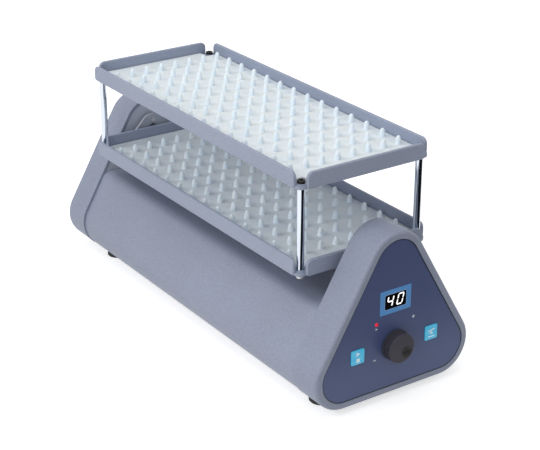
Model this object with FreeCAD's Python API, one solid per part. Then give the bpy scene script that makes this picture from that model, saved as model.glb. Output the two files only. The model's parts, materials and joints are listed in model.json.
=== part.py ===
import FreeCAD, Part
import math
import os

# Tube rocker for a laboratory bench. Millimetres.
# X runs along the rocking axis towards the control panel, Y across it, Z up.
# The origin lies on the bench, below the middle of the whole part with its knob.
# Each piece is modelled about the middle of the housing and put in its place at the end.

Vector = FreeCAD.Vector

# Housing, as driving dimensions
housing_length = 405.0
end_housing_depth = 31.0
housing_lift = 5.0
corner_y = 48.0
corner_radius = 27.5
apex_radius = 27.0
axis_height = 116.0
shell_wall = 3.0
floor_wall = 4.0
front_edge_round = 3.0
centre_inset = 1.6
centre_top_drop = 36.0
centre_edge_round = 11.0
floor_opening_y = 36.0
floor_opening_end_gap = 45.0
housing_screw_inset = 90.0
past = 1.0

# Front and rear fields that the sheets lie in
field_inset = 6.1
field_depth = 1.2
overlay_thickness = 0.8
overlay_gap = 0.25

# Inner covers and the steel frame
cheek_thickness = 3.0
cheek_gap = 0.3
cheek_shaft_gap = 1.0
cheek_screw_drop = 24.0
cheek_screw_inset = 5.7
cheek_boss_length = 14.0
cheek_boss_wall = 1.2
cheek_web = 3.0
frame_gap = 0.5
upright_thickness = 2.5
upright_half_width = 27.0
upright_corner_radius = 4.0
upright_top_radius = 14.0
upright_flange = 18.0
upright_screw_edge = 8.0
plate_thickness = 2.0
plate_gap = 0.5
plate_corner_round = 4.0
vent_count = 9
vent_pitch = 22.0
vent_length = 40.0
vent_width = 5.0

# Feet
foot_panel_end = 29.5
foot_rear_end = 46.5
foot_radius = 8.5
foot_neck_radius = 7.0
foot_neck_gap = 0.3
foot_recess_radius = 4.6
foot_recess_depth = 3.0
foot_edge_bevel = 1.2
foot_shell_gap = 0.2

# Rocking shaft and its bushes
journal_radius = 4.0
running_gap = 0.05
bush_radius = 8.0
bush_flange_radius = 10.5
bush_flange = 1.5
bush_inner_reach = 2.0
shaft_disc_radius = 10.5
shaft_disc = 2.2
shaft_shoulder_radius = 5.5
shaft_end_gap = 0.3
ring_thickness = 1.0
ring_radius = 6.5
ring_groove_depth = 0.6
shaft_tail = 1.2
flat_depth = 0.8
ring_mouth = 3.2
shaft_screw_skin = 0.4

# Rocking gear and pinion
gear_module = 1.25
pinion_teeth = 16
sector_full_teeth = 96
sector_teeth = 12
gear_width = 6.0
gear_hub_radius = 9.0
gear_hub_length = 9.0
gear_web_offset = 1.7
gear_backlash = 0.25
gear_dedendum = 1.25
tooth_root_flare = 1.12
web_root_half = 8.1
pinion_bore_gap = 0.02
pressure_angle = math.radians(20.0)
pinion_width = 8.0
window_inner = 20.0
window_outer = 49.0
window_angle = math.radians(12.0)

# Gear motor
gearbox_radius = 18.5
gearbox_length = 24.0
motor_radius = 16.0
motor_length = 34.0
motor_cap_radius = 13.0
motor_cap = 5.0
motor_pilot_radius = 6.0
motor_shaft_radius = 3.0
motor_shaft_depth = 10.0
motor_bolt_circle = 14.0
motor_pilot_gap = 0.1
motor_pilot_step = 0.2
motor_edge_bevel = 1.5
motor_shaft_past_pinion = 0.8
tab_y = 6.0
tab_width = 3.0
tab_thickness = 0.8
tab_length = 5.0

# Trays
tray_end_gap = 8.5
tray_width = 129.0
tray_height = 13.5
tray_floor = 2.5
tray_wall = 3.0
wall_stop_x = 7.4
wall_stop_y = 8.2
wall_end_round = 5.0
wall_low_round = 2.5
wall_edge_bevel = 0.7
tray_below_axis = 11.0
deck_spacing = 72.0
rod_inset_x = 8.0
rod_inset_y = 7.5
rod_radius = 3.0
rod_thread = 9.0
ear_radius = 6.0
boss_radius = 4.8
boss_under = 0.8
boss_over = 0.8

# Mats and their pegs
mat_thickness = 1.8
mat_gap = 0.6
mat_corner_gap = 1.0
mat_corner_reach = 20.0
peg_pitch_x = 20.6
peg_pitch_y = 15.0
peg_end_margin = 25.0
peg_side_margin = 8.0
peg_height = 7.2
peg_base_radius = 2.6
peg_tip_radius = 0.9
peg_sides = 6

# Brackets that hang the lower tray on the shafts
bracket_thickness = 2.5
bracket_flange = 36.0
bracket_half_width = 24.0
bracket_corner_radius = 5.0
bracket_top_radius = 13.0
bracket_tray_gap = 3.5
bracket_bend_round = 1.5
bracket_screw_edge = 7.0
bracket_screw_end = 11.0
bracket_screw_skin = 0.4

# Panel, its display, lamp, keys and knob
display_drop = 30.0
display_y = -0.5
bezel_width = 30.2
bezel_height = 20.4
bezel_round = 0.8
window_width = 20.6
window_height = 12.2
window_round = 1.2
lens_flange = 1.2
lens_flange_thickness = 1.0
wall_opening_gap = 0.5
lens_gap = 0.1
lens_recess = 0.1
module_gap = 0.2
module_inset = 0.3
lamp_y = -18.4
lamp_drop = 16.3
lamp_radius = 1.7
lamp_proud = 0.6
lamp_end_round = 0.9
lamp_collar = 0.4
lamp_collar_length = 1.0
knob_height = 47.5
knob_radius = 12.8
knob_front_radius = 12.4
knob_front_band = 1.6
knob_face = 3.0
knob_proud = 9.4
knob_panel_gap = 0.5
knob_hollow_radius = 8.6
knob_hollow_depth = 4.2
knob_skirt_length = 2.2
knob_ribs = 24
knob_rib_crest = 12.4
knob_rib_valley = 11.8
knob_edge_round = 0.8
dimple_radius = 5.0
dimple_depth = 2.2
dimple_y = 5.1
dimple_drop = 4.0
knob_shaft_radius = 3.0
key_y = 36.3
key_height = 47.4
key_size = 12.5
key_round = 1.4
key_proud = 1.0
key_travel = 0.8
key_gap = 0.3
key_edge_bevel = 0.4
key_flange = 1.6
key_flange_thickness = 1.9
key_stem_radius = 2.0
key_stem_gap = 0.25

# Control board
board_gap = 8.2
board_thickness = 1.6
board_low_y = 52.0
board_low_height = 31.0
board_mid_height = 54.0
board_top_y = 31.0
board_over_display = 11.0
post_radius = 3.2
post_low_inset = 5.5
post_low_rise = 5.0
post_high_inset = 6.0
post_high_drop = 5.5
board_screw_spare = 0.5
switch_size = 9.0
switch_floor = 0.6
encoder_size = 12.0
encoder_length = 6.6
encoder_floor = 1.0
neck_past_nut = 1.2
bushing_radius = 3.5
bushing_gap = 0.2
nut_flats = 10.0
nut_thickness = 1.8
nut_clearance = 0.9

# Power inlet in the rear end
inlet_y = 30.0
inlet_height = 36.0
inlet_radius = 5.0
inlet_flange_radius = 6.5
inlet_flange = 1.4
inlet_depth = 12.0
inlet_bore_radius = 3.2
inlet_pin_radius = 1.0
inlet_nut_radius = 7.0
inlet_nut = 2.0
inlet_gap = 0.2
inlet_bore_floor = 2.0
inlet_pin_recess = 0.5

# Screws: shank radius, head radius, head height
small_screw = (1.25, 2.3, 1.4)
medium_screw = (1.5, 2.75, 2.0)
large_screw = (2.0, 3.6, 3.0)
deck_screw = (2.0, 3.2, 2.2)
pan_screw = (2.0, 3.6, 2.0)
low_screw = (1.5, 2.75, 1.4)
thin_head = 0.8
screw_gap = 0.15
screw_bite = 5.0
socket_share = 0.55
countersink_depth = 1.8

# Worked out from the above
corner_height = housing_lift + corner_radius
centre_top_height = axis_height - centre_top_drop
half_length = housing_length / 2
cheek_face = half_length - end_housing_depth
field_face = half_length - field_depth
front_wall_back = field_face - shell_wall
overlay_face = field_face + overlay_thickness
floor_top = housing_lift + floor_wall
plate_top = floor_top + plate_thickness
foot_panel_x = half_length - foot_panel_end
foot_rear_x = foot_rear_end - half_length
foot_y = corner_y
upright_inner = cheek_face + cheek_thickness + frame_gap
upright_outer = upright_inner + upright_thickness
bush_outer = upright_outer + bush_flange
pitch_sum = gear_module * (sector_full_teeth + pinion_teeth) / 2
motor_height = axis_height - pitch_sum
gear_hub_start = bush_outer + shaft_end_gap
gear_start = gear_hub_start + gear_web_offset
tray_length = 2 * (cheek_face - tray_end_gap)
lower_tray_height = axis_height - tray_below_axis
upper_tray_height = lower_tray_height + deck_spacing
rod_x_place = tray_length / 2 - rod_inset_x
rod_y_place = tray_width / 2 - rod_inset_y
bracket_inner = tray_length / 2 + bracket_tray_gap
bracket_outer = bracket_inner + bracket_thickness
board_front = front_wall_back - board_gap
board_back = board_front - board_thickness
display_height = axis_height - display_drop
lamp_height = display_height - lamp_drop
board_top_height = display_height + board_over_display


def box(x0, x1, y0, y1, z0, z1):
    return Part.makeBox(x1 - x0, y1 - y0, z1 - z0, Vector(x0, y0, z0))


def rod_x(x0, x1, y, z, radius):
    """Round bar along X."""
    return Part.makeCylinder(radius, x1 - x0, Vector(x0, y, z), Vector(1, 0, 0))


def rod_z(x, y, z0, z1, radius):
    """Round bar along Z."""
    return Part.makeCylinder(radius, z1 - z0, Vector(x, y, z0), Vector(0, 0, 1))


def turned(shape):
    """The same piece at the rear end, half a turn about the upright axis."""
    copy = shape.copy()
    copy.rotate(Vector(0, 0, 0), Vector(0, 0, 1), 180)
    return copy


def prism_x(points, x0, x1):
    """Flat outline of (y, z) points, carried from x0 to x1."""
    corners = [Vector(x0, y, z) for y, z in points]
    face = Part.Face(Part.makePolygon(corners + corners[:1]))
    return face.extrude(Vector(x1 - x0, 0, 0))


def outer_tangent(first, second):
    """Touch points of the outer tangent of two (y, z, radius) circles, to the left of the way."""
    dy = second[0] - first[0]
    dz = second[1] - first[1]
    span = math.hypot(dy, dz)
    lean = (first[2] - second[2]) / span
    side = math.sqrt(1 - lean * lean)
    ny = lean * dy / span - side * dz / span
    nz = lean * dz / span + side * dy / span
    return [(c[0] + c[2] * ny, c[1] + c[2] * nz) for c in (first, second)]


def arc_between(x, circle, start, end):
    """Arc of a circle in the plane at x, on the side away from the chord's inner side."""
    my = (start[0] + end[0]) / 2 - circle[0]
    mz = (start[1] + end[1]) / 2 - circle[1]
    reach = circle[2] / math.hypot(my, mz)
    middle = Vector(x, circle[0] + my * reach, circle[1] + mz * reach)
    return Part.Arc(Vector(x, *start), middle, Vector(x, *end)).toShape()


def rounded_triangle(x0, x1, half_y, low, low_radius, top, top_radius):
    """Prism along X on an upright triangle with three round corners."""
    circles = [(-half_y, low, low_radius), (0.0, top, top_radius), (half_y, low, low_radius)]
    sides = [outer_tangent(circles[i], circles[(i + 1) % 3]) for i in range(3)]
    edges = []
    for i in range(3):
        start, end = sides[i]
        edges.append(Part.makeLine(Vector(x0, *start), Vector(x0, *end)))
        edges.append(arc_between(x0, circles[(i + 1) % 3], end, sides[(i + 1) % 3][0]))
    return Part.Face(Part.Wire(edges)).extrude(Vector(x1 - x0, 0, 0))


def housing_section(x0, x1, inset=0.0, drop=0.0):
    """The housing's own section, taken in by inset, its low corners let down by drop."""
    low_radius = corner_radius - inset
    top_radius = apex_radius - inset
    return rounded_triangle(x0, x1, corner_y, corner_height - drop, low_radius, axis_height, top_radius)


def rounded_block(x0, x1, y, z, width, height, radius):
    """Block facing along X, with its four long edges round."""
    block = box(x0, x1, y - width / 2, y + width / 2, z - height / 2, z + height / 2)
    edges = [e for e in block.Edges if abs(e.tangentAt(e.FirstParameter).x) > 0.99]
    return block.makeFillet(radius, edges)


def flank_y(height, inset=0.0):
    """Half width of the housing's straight flank at a height."""
    top = (0.0, axis_height, apex_radius - inset)
    low = (corner_y, corner_height, corner_radius - inset)
    (y0, z0), (y1, z1) = outer_tangent(top, low)
    return y0 + (y1 - y0) * (height - z0) / (z1 - z0)


def hex_prism(base, away, radius, height):
    """Six-sided head standing on base."""
    side = Vector(0, 1, 0)
    up = away.cross(side)
    corners = []
    for i in range(6):
        turn = math.pi / 3 * i
        corners.append(base + side * (radius * math.cos(turn)) + up * (radius * math.sin(turn)))
    face = Part.Face(Part.makePolygon(corners + corners[:1]))
    return face.extrude(away * height)


def screw(base, direction, kind, length, sunk=False, socket=False, hexed=False):
    """Screw whose head stands on base and whose shank goes along direction."""
    shank_radius, head_radius, head_height = kind
    away = Vector(direction).multiply(-1.0)
    shank = Part.makeCylinder(shank_radius, length, base, direction)
    if hexed:
        return shank.fuse(hex_prism(base, away, head_radius, head_height)).removeSplitter()
    if sunk:
        head = Part.makeCone(head_radius, shank_radius, countersink_depth, base, direction)
        return shank.fuse(head).removeSplitter()
    head = Part.makeCylinder(head_radius, head_height, base, away)
    body = shank.fuse(head).removeSplitter()
    if not socket:
        return body
    top = base + Vector(away).multiply(head_height)
    depth = head_height * socket_share
    return body.cut(Part.makeCylinder(head_radius * socket_share, depth, top, direction))


def sunk_screw_hole(base, direction, kind, length):
    """Hole for the shank and the cone of a sunk screw."""
    shank_radius = kind[0] + screw_gap
    hole = Part.makeCylinder(shank_radius, length, base, direction)
    return hole.fuse(Part.makeCone(kind[1] + screw_gap, shank_radius, countersink_depth, base, direction))


def group(solids):
    return Part.makeCompound(solids)


# Places that several pieces share

def foot_places():
    return [(x, y) for x in (foot_panel_x, foot_rear_x) for y in (-foot_y, foot_y)]


def housing_screw_places():
    """Screws from below that hold the shells to the floor plate."""
    end_x = (half_length + cheek_face) / 2
    centre_x = cheek_face - housing_screw_inset
    side = floor_opening_y + 2 * medium_screw[1]
    return [(x, y) for x in (-end_x, -centre_x, centre_x, end_x) for y in (-side, side)]


def upright_screw_places():
    x = upright_outer + upright_flange - upright_screw_edge
    y = upright_half_width - upright_screw_edge
    return [(x, -y), (x, y)]


def cheek_screw_places():
    height = axis_height - cheek_screw_drop
    side = flank_y(height, shell_wall) - cheek_screw_inset
    return [(-side, height), (side, height)]


def board_post_places():
    low_y = board_low_y - post_low_inset
    low_z = board_low_height + post_low_rise
    high_y = board_top_y - post_high_inset
    high_z = board_top_height - post_high_drop
    return [(-low_y, low_z), (low_y, low_z), (-high_y, high_z), (high_y, high_z)]


def rod_places():
    return [(x, y) for x in (-rod_x_place, rod_x_place) for y in (-rod_y_place, rod_y_place)]


def motor_screw_places():
    """Four (y, z) points on the gearbox's bolt circle."""
    reach = motor_bolt_circle * math.sqrt(0.5)
    return [(y, motor_height + z) for y in (-reach, reach) for z in (-reach, reach)]


def shaft_screw_places():
    """Three (y, z) points round the rocking axis."""
    angles = [math.radians(90 + 120 * i) for i in range(3)]
    reach = (journal_radius + shaft_disc_radius) / 2
    return [(reach * math.cos(a), axis_height + reach * math.sin(a)) for a in angles]


def bracket_screw_places():
    x0 = tray_length / 2 - bracket_flange + bracket_screw_edge
    x1 = tray_length / 2 - bracket_screw_end
    y = bracket_half_width - bracket_screw_edge
    return [(x, side * y) for x in (x0, x1) for side in (-1, 1)]


# Housing shells

def cut_floor_holes(shell):
    """Room for the feet and for the screws that come up into the floor plate."""
    tools = []
    for x, y in foot_places():
        tools.append(rod_z(x, y, 0, floor_top + past, foot_neck_radius + foot_neck_gap))
    for x, y in housing_screw_places():
        base = Vector(x, y, housing_lift)
        tools.append(sunk_screw_hole(base, Vector(0, 0, 1), medium_screw, floor_wall + past))
    return shell.cut(tools)


def centre_housing():
    """Shell between the ends: the ends' section taken in a little, with a flat top."""
    outer = housing_section(-cheek_face, cheek_face, centre_inset, centre_inset)
    outer = outer.cut(whole_width(centre_top_height, axis_height * 2))
    shoulders = long_edges_at(outer, centre_top_height)
    outer = outer.makeFillet(centre_edge_round, shoulders)
    reach = cheek_face + past
    inner = housing_section(-reach, reach, centre_inset + shell_wall, centre_inset)
    roof = centre_top_height - shell_wall
    inner = inner.cut([whole_width(roof, axis_height * 2), whole_width(0, floor_top)])
    shoulders = long_edges_at(inner, roof)
    inner = inner.makeFillet(centre_edge_round - shell_wall, shoulders)
    shell = outer.cut(inner)
    reach = cheek_face - floor_opening_end_gap
    shell = shell.cut(box(-reach, reach, -floor_opening_y, floor_opening_y, 0, floor_top + past))
    return cut_floor_holes(shell)


def whole_width(z0, z1):
    """Block wider than the housing, for cutting it level."""
    side = corner_y + corner_radius + past
    return box(-half_length - past, half_length + past, -side, side, z0, z1)


def long_edges_at(solid, height):
    """Edges along X at a height."""
    found = []
    for edge in solid.Edges:
        level = edge.BoundBox
        if abs(level.ZMin - height) + abs(level.ZMax - height) < 0.01 and level.XLength > cheek_face:
            found.append(edge)
    return found


def end_housing_shell():
    """End housing on the panel side, before what each end has of its own."""
    outer = housing_section(cheek_face, half_length)
    rim = [e for e in outer.Edges if e.BoundBox.XMin > half_length - 0.01]
    outer = outer.makeFillet(front_edge_round, rim)
    cavity = housing_section(cheek_face - past, front_wall_back, shell_wall).cut(whole_width(0, floor_top))
    field = housing_section(field_face, half_length + past, field_inset)
    shell = outer.cut([cavity, field])
    bosses = [cheek_boss(y, z) for y, z in cheek_screw_places()]
    return shell.fuse(bosses).removeSplitter()


def cheek_boss(y, z):
    """Moulded post for a cheek screw, grown into the flank of the housing."""
    start = cheek_face + cheek_thickness
    end = start + cheek_boss_length
    post = rod_x(start, end, y, z, medium_screw[1] + cheek_boss_wall)
    flank = math.copysign(corner_y + corner_radius, y)
    web = box(start, end, min(y, flank), max(y, flank), z - cheek_web / 2, z + cheek_web / 2)
    post = post.fuse(web).common(housing_section(cheek_face, half_length, shell_wall / 2))
    return post.cut(rod_x(start - past, start + screw_bite + past, y, z, medium_screw[0]))


def panel_end_housing():
    shell = end_housing_shell()
    posts = [rod_x(board_front, front_wall_back + past, y, z, post_radius) for y, z in board_post_places()]
    shell = shell.fuse(posts).removeSplitter()
    wall = (front_wall_back - past, half_length)
    tools = [display_opening(*wall, wall_opening_gap)]
    tools.append(rod_x(*wall, lamp_y, lamp_height, lamp_radius + lens_gap))
    tools.append(rod_x(*wall, 0, knob_height, bushing_radius + bushing_gap))
    for y in (-key_y, key_y):
        tools.append(key_block(*wall, y, key_gap))
    for y, z in board_post_places():
        tools.append(rod_x(board_front - past, board_front + screw_bite, y, z, small_screw[0]))
    return cut_floor_holes(shell.cut(tools))


def rear_end_housing():
    shell = turned(end_housing_shell())
    radius = inlet_radius + inlet_gap
    hole = rod_x(-half_length - past, -front_wall_back + past, inlet_y, inlet_height, radius)
    return cut_floor_holes(shell.cut(hole))


def end_cheek():
    """Cover on the tray side, above the flat top of the centre housing."""
    inset = shell_wall + cheek_gap
    cheek = housing_section(cheek_face, cheek_face + cheek_thickness, inset)
    cheek = cheek.cut(whole_width(0, centre_top_height - shell_wall))
    tools = [rod_x(0, half_length, 0, axis_height, bush_radius + cheek_shaft_gap)]
    for y, z in cheek_screw_places():
        tools.append(rod_x(0, half_length, y, z, medium_screw[0] + screw_gap))
    return cheek.cut(tools)


def cheek_screws():
    screws = []
    for y, z in cheek_screw_places():
        base = Vector(cheek_face, y, z)
        screws.append(screw(base, Vector(1, 0, 0), flat_head(medium_screw), cheek_thickness + screw_bite))
    return group(screws + [turned(s) for s in screws])


def flat_head(kind):
    """The same screw with a thin head, for places with little room."""
    return (kind[0], kind[1], thin_head)


# Steel frame, bushes and feet

def base_plate():
    drop = corner_height - centre_inset - floor_top
    inner_radius = corner_radius - centre_inset - shell_wall
    half_y = corner_y + math.sqrt(inner_radius ** 2 - drop ** 2) - plate_gap
    half_x = front_wall_back - plate_gap
    plate = box(-half_x, half_x, -half_y, half_y, floor_top, plate_top)
    uprights = [e for e in plate.Edges if abs(e.tangentAt(e.FirstParameter).z) > 0.99]
    plate = plate.makeFillet(plate_corner_round, uprights)
    top = plate_top + past
    tools = []
    for i in range(vent_count):
        x = (i - (vent_count - 1) / 2) * vent_pitch
        tools.append(box(x - vent_width / 2, x + vent_width / 2, -vent_length / 2, vent_length / 2, 0, top))
    for x, y in foot_places():
        tools.append(rod_z(x, y, 0, top, pan_screw[0]))
    for x, y in housing_screw_places():
        tools.append(rod_z(x, y, 0, top, medium_screw[0]))
    for x, y in upright_screw_places():
        tools.append(rod_z(x, y, 0, top, large_screw[0]))
        tools.append(rod_z(-x, y, 0, top, large_screw[0]))
    return plate.cut(tools)


def upright():
    """Bent steel plate that carries a bush, on the panel side."""
    low = plate_top + upright_corner_radius
    half_y = upright_half_width - upright_corner_radius
    blade = rounded_triangle(upright_inner, upright_outer, half_y, low, upright_corner_radius,
                             axis_height, upright_top_radius)
    square = box(upright_inner, upright_outer, -upright_half_width, upright_half_width, plate_top, low)
    reach = upright_outer + upright_flange
    flange_top = plate_top + upright_thickness
    flange = box(upright_inner, reach, -upright_half_width, upright_half_width, plate_top, flange_top)
    body = blade.fuse([square, flange]).removeSplitter()
    bend = [e for e in body.Edges if is_bend(e, upright_outer, flange_top)]
    body = body.makeFillet(upright_thickness / 2, bend)
    tools = [rod_x(0, half_length, 0, axis_height, bush_radius)]
    for x, y in upright_screw_places():
        tools.append(rod_z(x, y, 0, flange_top + past, large_screw[0] + screw_gap))
    return body.cut(tools)


def is_bend(edge, x, z):
    """True for the edge along Y at x and z."""
    room = edge.BoundBox
    return abs(room.XMin - x) + abs(room.XMax - x) + abs(room.ZMin - z) + abs(room.ZMax - z) < 0.01


def rear_upright():
    """The rear plate also carries the gear motor."""
    plate = turned(upright())
    tools = [rod_x(-half_length, 0, 0, motor_height, motor_pilot_radius + motor_pilot_gap)]
    for y, z in motor_screw_places():
        tools.append(rod_x(-half_length, 0, y, z, medium_screw[0] + screw_gap))
    return plate.cut(tools)


def upright_screws():
    top = plate_top + upright_thickness
    screws = []
    for x, y in upright_screw_places():
        base = Vector(x, y, top)
        screws.append(screw(base, Vector(0, 0, -1), large_screw, top - floor_top, hexed=True))
    return group(screws + [turned(s) for s in screws])


def bush():
    """Flanged bush, pressed into the upright."""
    inner = cheek_face + cheek_thickness - bush_inner_reach
    barrel = rod_x(inner, upright_outer, 0, axis_height, bush_radius)
    flange = rod_x(upright_outer, bush_outer, 0, axis_height, bush_flange_radius)
    bore = rod_x(0, half_length, 0, axis_height, journal_radius + running_gap)
    return barrel.fuse(flange).cut(bore)


def foot(x, y):
    """Rubber foot with a neck that passes the shell and seats on the floor plate."""
    pad_top = housing_lift - foot_shell_gap
    body = rod_z(x, y, 0, pad_top, foot_radius)
    rims = [e for e in body.Edges if e.BoundBox.ZMax < 0.01]
    body = body.makeChamfer(foot_edge_bevel, rims)
    body = body.fuse(rod_z(x, y, pad_top, floor_top, foot_neck_radius))
    body = body.cut(rod_z(x, y, -past, foot_recess_depth, foot_recess_radius))
    return body.cut(rod_z(x, y, 0, floor_top + past, pan_screw[0] + screw_gap))


def foot_screws():
    up = Vector(0, 0, 1)
    length = plate_top - foot_recess_depth
    return group([screw(Vector(x, y, foot_recess_depth), up, pan_screw, length) for x, y in foot_places()])


def housing_screws():
    up = Vector(0, 0, 1)
    length = plate_top - housing_lift
    places = housing_screw_places()
    return group([screw(Vector(x, y, housing_lift), up, medium_screw, length, sunk=True) for x, y in places])


# Rocking shafts and drive

def shaft(reach):
    """Stepped shaft with a disc that is screwed to a bracket; reach is its outer end."""
    disc = rod_x(bracket_outer, bracket_outer + shaft_disc, 0, axis_height, shaft_disc_radius)
    pilot = rod_x(bracket_inner, bracket_outer, 0, axis_height, journal_radius)
    shoulder_end = cheek_face + cheek_thickness - bush_inner_reach - shaft_end_gap
    shoulder = rod_x(bracket_outer, shoulder_end, 0, axis_height, shaft_shoulder_radius)
    journal = rod_x(bracket_outer, reach, 0, axis_height, journal_radius)
    body = disc.fuse([pilot, shoulder, journal]).removeSplitter()
    tools = []
    for y, z in shaft_screw_places():
        end = bracket_outer + shaft_disc - shaft_screw_skin
        tools.append(rod_x(bracket_outer - past, end, y, z, small_screw[0]))
    return body.cut(tools)


def ring_groove(start):
    """The groove that a retaining ring snaps into."""
    outer = rod_x(start, start + ring_thickness, 0, axis_height, journal_radius + past)
    inner = rod_x(start, start + ring_thickness, 0, axis_height, journal_radius - ring_groove_depth)
    return outer.cut(inner)


def flat_cutter(x0, x1, centre_z, radius, lift=0.0):
    """Block that cuts the drive flat on top of a shaft."""
    level = centre_z + radius - flat_depth + lift
    return box(x0, x1, -radius - past, radius + past, level, level + radius)


def idler_ring_start():
    return bush_outer + shaft_end_gap


def drive_ring_start():
    return gear_hub_start + gear_hub_length + shaft_end_gap


def idler_shaft():
    start = idler_ring_start()
    return shaft(start + ring_thickness + shaft_tail).cut(ring_groove(start))


def drive_shaft():
    start = drive_ring_start()
    body = shaft(start + ring_thickness + shaft_tail)
    flat = flat_cutter(gear_hub_start, gear_hub_start + gear_hub_length, axis_height, journal_radius)
    return turned(body.cut([ring_groove(start), flat]))


def shaft_rings():
    """Retaining rings, open at the top like real snap rings."""
    rings = []
    for start in (idler_ring_start(), drive_ring_start()):
        ring = rod_x(start, start + ring_thickness, 0, axis_height, ring_radius)
        hole = rod_x(0, half_length, 0, axis_height, journal_radius - ring_groove_depth)
        mouth = box(start, start + ring_thickness, -ring_mouth / 2, ring_mouth / 2,
                    axis_height, axis_height + ring_radius + past)
        rings.append(ring.cut([hole, mouth]))
    return group([rings[0], turned(rings[1])])


def shaft_screws():
    """Screws from the tray side, through the bracket into the shaft's disc."""
    length = bracket_thickness + shaft_disc - shaft_screw_skin
    head = flat_head(small_screw)
    along = Vector(1, 0, 0)
    screws = [screw(Vector(bracket_inner, y, z), along, head, length) for y, z in shaft_screw_places()]
    return group(screws + [turned(s) for s in screws])


def involute(angle):
    return math.tan(angle) - angle


def tooth_outline(teeth, centre_z, middle):
    """One tooth's (y, z) points about its middle angle, on involute flanks."""
    pitch = gear_module * teeth / 2
    base = pitch * math.cos(pressure_angle)
    tip = pitch + gear_module
    root = pitch - gear_dedendum * gear_module
    half = math.pi / (2 * teeth) - gear_backlash / (2 * pitch)
    flank = []
    for share in (0.0, 0.4, 0.75, 1.0):
        radius = max(root, base) + share * (tip - max(root, base))
        lean = involute(pressure_angle) - involute(math.acos(min(1.0, base / radius)))
        flank.append((radius, half + lean))
    flank.insert(0, (root, flank[0][1] * tooth_root_flare))
    left = [polar(centre_z, radius, middle - turn) for radius, turn in flank]
    right = [polar(centre_z, radius, middle + turn) for radius, turn in reversed(flank)]
    return left + right


def polar(centre_z, radius, angle):
    return (radius * math.cos(angle), centre_z + radius * math.sin(angle))


def sector_gear():
    """Toothed sector on the drive shaft, hanging down to the pinion."""
    down = -math.pi / 2
    step = 2 * math.pi / sector_full_teeth
    outline = [(-web_root_half, axis_height)]
    for i in range(sector_teeth):
        middle = down + (i - (sector_teeth - 1) / 2) * step
        outline += tooth_outline(sector_full_teeth, axis_height, middle)
    outline.append((web_root_half, axis_height))
    web = prism_x(outline, gear_start, gear_start + gear_width)
    hub = rod_x(gear_hub_start, gear_hub_start + gear_hub_length, 0, axis_height, gear_hub_radius)
    window = [polar(axis_height, window_inner, down - window_angle),
              polar(axis_height, window_outer, down - window_angle),
              polar(axis_height, window_outer, down + window_angle),
              polar(axis_height, window_inner, down + window_angle)]
    bore = rod_x(0, half_length, 0, axis_height, journal_radius + running_gap)
    flat = flat_cutter(0, half_length, axis_height, journal_radius, running_gap)
    body = web.cut(prism_x(window, 0, half_length)).fuse(hub).removeSplitter()
    return turned(body.cut(bore.cut(flat)))


def motor_pinion():
    """Pinion in mesh below the sector, a tooth standing straight up."""
    outline = []
    for i in range(pinion_teeth):
        middle = math.pi / 2 + i * 2 * math.pi / pinion_teeth
        outline += tooth_outline(pinion_teeth, motor_height, middle)
    start = gear_start - (pinion_width - gear_width) / 2
    body = prism_x(outline, start, start + pinion_width)
    bore = rod_x(0, half_length, 0, motor_height, motor_shaft_radius + pinion_bore_gap)
    return turned(body.cut(bore))


def gear_motor():
    """Gearbox, motor can and end cap, with its face on the upright."""
    face = upright_inner
    gearbox = rod_x(face - gearbox_length, face, 0, motor_height, gearbox_radius)
    can_start = face - gearbox_length - motor_length
    can = rod_x(can_start, face - gearbox_length, 0, motor_height, motor_radius)
    rims = [e for e in can.Edges if e.BoundBox.XMax < can_start + 0.01]
    can = can.makeChamfer(motor_edge_bevel, rims)
    cap_start = can_start - motor_cap
    cap = rod_x(cap_start, can_start, 0, motor_height, motor_cap_radius)
    pilot = rod_x(face, upright_outer - motor_pilot_step, 0, motor_height, motor_pilot_radius)
    tabs = []
    for y in (-tab_y, tab_y):
        tabs.append(box(cap_start - tab_length, cap_start, y - tab_width / 2, y + tab_width / 2,
                        motor_height - tab_thickness / 2, motor_height + tab_thickness / 2))
    body = gearbox.fuse([can, cap, pilot] + tabs).removeSplitter()
    tools = [rod_x(face - motor_shaft_depth, half_length, 0, motor_height, motor_shaft_radius + running_gap)]
    for y, z in motor_screw_places():
        tools.append(rod_x(face - screw_bite, face + past, y, z, medium_screw[0]))
    return turned(body.cut(tools))


def motor_shaft():
    start = upright_inner - motor_shaft_depth + shaft_end_gap
    end = gear_start + (gear_width + pinion_width) / 2 + motor_shaft_past_pinion
    return turned(rod_x(start, end, 0, motor_height, motor_shaft_radius))


def motor_screws():
    along = Vector(-1, 0, 0)
    length = upright_thickness + screw_bite
    screws = []
    for y, z in motor_screw_places():
        screws.append(turned(screw(Vector(upright_outer, y, z), along, low_screw, length, hexed=True)))
    return group(screws)


# Rocking platform

def tray_rim(length, base):
    """Rim along X about the middle, with round ends and bevelled long edges."""
    wall = box(-length / 2, length / 2, 0, tray_wall, base, base + tray_height)
    middle = base + tray_height / 2
    top_ends = [e for e in wall.Edges if e.BoundBox.YLength > past and e.BoundBox.ZMin > middle]
    wall = wall.makeFillet(wall_end_round, top_ends)
    low_ends = [e for e in wall.Edges if e.BoundBox.YLength > past and e.BoundBox.ZMax < base + 0.01]
    wall = wall.makeFillet(wall_low_round, low_ends)
    return wall.makeChamfer(wall_edge_bevel, [e for e in wall.Edges if e.BoundBox.YLength < 0.01])


def tray_rims(base):
    """The four rims, outer face outwards; they stop short of the corners."""
    long_rim = tray_rim(tray_length - 2 * wall_stop_x, base)
    long_rim.translate(Vector(0, -tray_width / 2, 0))
    short_rim = tray_rim(tray_width - 2 * wall_stop_y, base)
    short_rim.rotate(Vector(0, 0, 0), Vector(0, 0, 1), 90)
    short_rim.translate(Vector(tray_length / 2, 0, 0))
    return [long_rim, short_rim, turned(long_rim), turned(short_rim)]


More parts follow.
